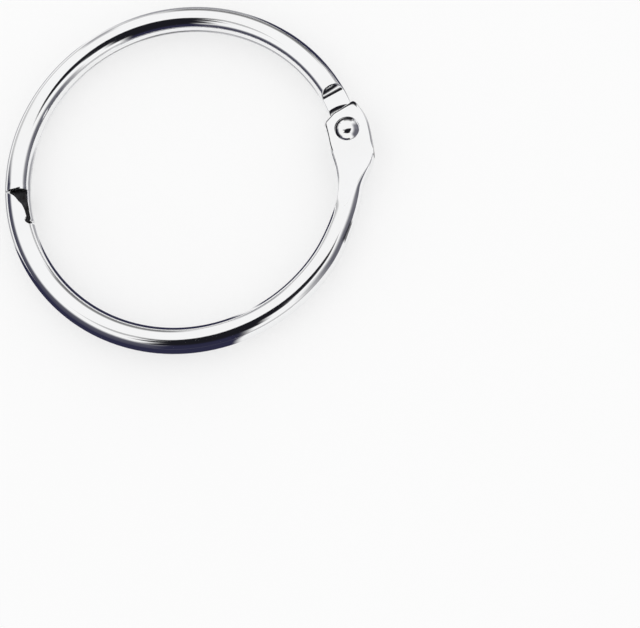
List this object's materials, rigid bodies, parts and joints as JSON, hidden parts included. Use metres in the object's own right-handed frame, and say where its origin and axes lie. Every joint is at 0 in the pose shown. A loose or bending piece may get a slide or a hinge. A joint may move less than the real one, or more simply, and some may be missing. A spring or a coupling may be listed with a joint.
{
  "type": "binder ring",
  "caption": "Hinged loose-leaf ring of rolled steel tube: a tongue half and a fork half on one rivet, with a stepped snap catch opposite.",
  "frame": {"origin": "centre of the closed ring, in the middle of its thickness", "axes": "+Z along the ring's axis, up as it lies flat; +X towards the hinge rivet; the tongue half on the +Y side"},
  "size_m": [0.0379, 0.037, 0.0036],
  "materials": {
    "bright_plating": "bright nickel plating, mirror polished"
  },
  "bodies": {
    "fork_side": {"fork_half": "bright_plating", "hinge_rivet": "bright_plating"},
    "tongue_side": {"tongue_half": "bright_plating"}
  },
  "joints": [
    {"name": "ring_hinge", "type": "hinge", "parent": "fork_side", "child": "tongue_side", "pos_m": [0.0172, 0, 0], "axis": [0, 0, -1], "range_deg": [0, 130]}
  ]
}
